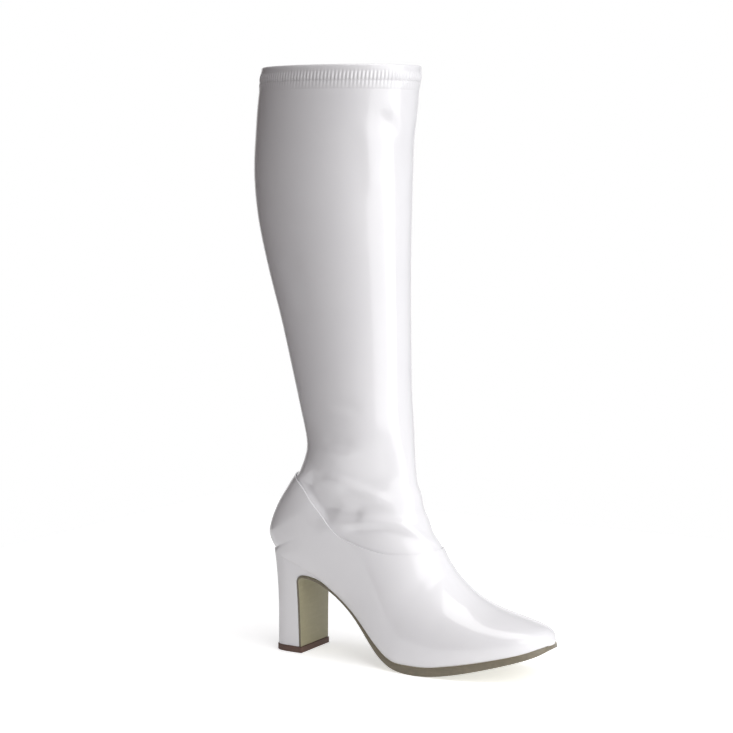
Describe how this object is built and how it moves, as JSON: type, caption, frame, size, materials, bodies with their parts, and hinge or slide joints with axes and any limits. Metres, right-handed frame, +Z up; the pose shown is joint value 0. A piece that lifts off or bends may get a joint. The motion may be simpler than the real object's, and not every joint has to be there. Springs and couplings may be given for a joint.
{
  "type": "go go boot",
  "caption": "Knee-high pull-on boot for the right foot: glossy stretch shaft, lapped foot section, thin sole and a straight covered block heel.",
  "frame": {"origin": "centre of the top lift's underside, on the floor", "axes": "+X to the toe, +Y to the wearer's left, which is the boot's inner side, +Z up the shaft"},
  "size_m": [0.2605, 0.0968, 0.4667],
  "materials": {
    "stretch_patent": "high-gloss white coated stretch fabric",
    "patent": "high-gloss white patent",
    "sock": "matt woven sock",
    "sole": "satin olive-brown sheet with a dark edge",
    "heel_cover": "white patent wrapped over a moulded heel",
    "lift": "matt dark brown"
  },
  "bodies": {
    "root": {"upper": "stretch_patent", "foot_cover": "patent", "insole": "sock", "outsole": "sole", "heel_block": "heel_cover", "top_lift": "lift"}
  },
  "joints": []
}
